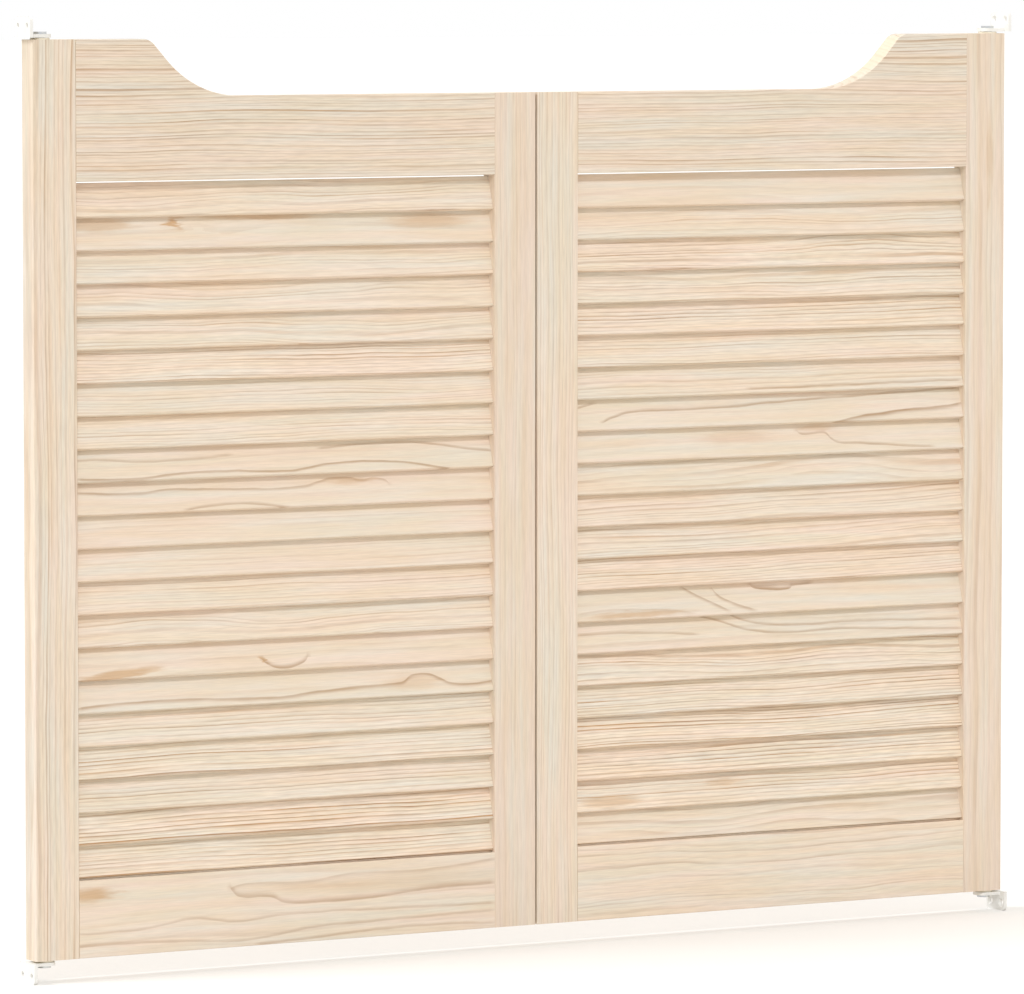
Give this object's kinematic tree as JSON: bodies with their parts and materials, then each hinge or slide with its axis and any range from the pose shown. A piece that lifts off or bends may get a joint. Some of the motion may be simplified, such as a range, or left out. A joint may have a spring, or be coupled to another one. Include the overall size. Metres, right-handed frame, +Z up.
{
  "type": "cafe swinging doors",
  "caption": "Pair of louvred pine saloon doors with swept top rails; each leaf swings both ways on sprung end pivots held by small jamb brackets.",
  "frame": {"origin": "midway between the jambs, in the middle of the leaves' thickness, at the foot of the lower brackets", "axes": "+X along the doorway from the left leaf to the right one, the fronts of the leaves face -Y, +Z up"},
  "size_m": [1.008, 0.03, 0.8396],
  "materials": {
    "pine_stile": "bare planed pine, grain upright",
    "pine_rail": "bare planed pine, grain level",
    "pine_slat": "bare moulded pine slat, grain level",
    "beech_dowel": "plain beech dowel",
    "nylon_bush": "moulded natural nylon",
    "painted_bracket": "white powder coat on steel",
    "plated_pin": "bright zinc plate on turned steel",
    "spring_steel": "drawn spring wire"
  },
  "bodies": {
    "jamb_hardware": {"left_bottom_bracket": "painted_bracket", "left_top_bracket": "painted_bracket", "right_bottom_bracket": "painted_bracket", "right_top_bracket": "painted_bracket", "pivot_pins": "plated_pin", "return_springs": "spring_steel"},
    "left_leaf": {"left_hinge_stile": "pine_stile", "left_meeting_stile": "pine_stile", "left_top_rail": "pine_rail", "left_bottom_rail": "pine_rail", "left_slat_01": "pine_slat", "left_slat_02": "pine_slat", "left_slat_03": "pine_slat", "left_slat_04": "pine_slat", "left_slat_05": "pine_slat", "left_slat_06": "pine_slat", "left_slat_07": "pine_slat", "left_slat_08": "pine_slat", "left_slat_09": "pine_slat", "left_slat_10": "pine_slat", "left_slat_11": "pine_slat", "left_slat_12": "pine_slat", "left_slat_13": "pine_slat", "left_slat_14": "pine_slat", "left_slat_15": "pine_slat", "left_slat_16": "pine_slat", "left_slat_17": "pine_slat", "left_slat_18": "pine_slat", "left_slat_19": "pine_slat", "left_slat_20": "pine_slat", "left_slat_21": "pine_slat", "left_dowels": "beech_dowel", "left_pivot_bushes": "nylon_bush"},
    "right_leaf": {"right_hinge_stile": "pine_stile", "right_meeting_stile": "pine_stile", "right_top_rail": "pine_rail", "right_bottom_rail": "pine_rail", "right_slat_01": "pine_slat", "right_slat_02": "pine_slat", "right_slat_03": "pine_slat", "right_slat_04": "pine_slat", "right_slat_05": "pine_slat", "right_slat_06": "pine_slat", "right_slat_07": "pine_slat", "right_slat_08": "pine_slat", "right_slat_09": "pine_slat", "right_slat_10": "pine_slat", "right_slat_11": "pine_slat", "right_slat_12": "pine_slat", "right_slat_13": "pine_slat", "right_slat_14": "pine_slat", "right_slat_15": "pine_slat", "right_slat_16": "pine_slat", "right_slat_17": "pine_slat", "right_slat_18": "pine_slat", "right_slat_19": "pine_slat", "right_slat_20": "pine_slat", "right_slat_21": "pine_slat", "right_dowels": "beech_dowel", "right_pivot_bushes": "nylon_bush"}
  },
  "joints": [
    {"name": "left_leaf_swing", "type": "hinge", "parent": "jamb_hardware", "child": "left_leaf", "pos_m": [-0.4875, 0, 0.4198], "axis": [0, 0, 1], "range_deg": [-90, 90], "stiffness_Nm_per_rad": 1.5, "deforming": ["return_springs"]},
    {"name": "right_leaf_swing", "type": "hinge", "parent": "jamb_hardware", "child": "right_leaf", "pos_m": [0.4875, 0, 0.4198], "axis": [0, 0, -1], "range_deg": [-90, 90], "stiffness_Nm_per_rad": 1.5, "deforming": ["return_springs"]}
  ]
}
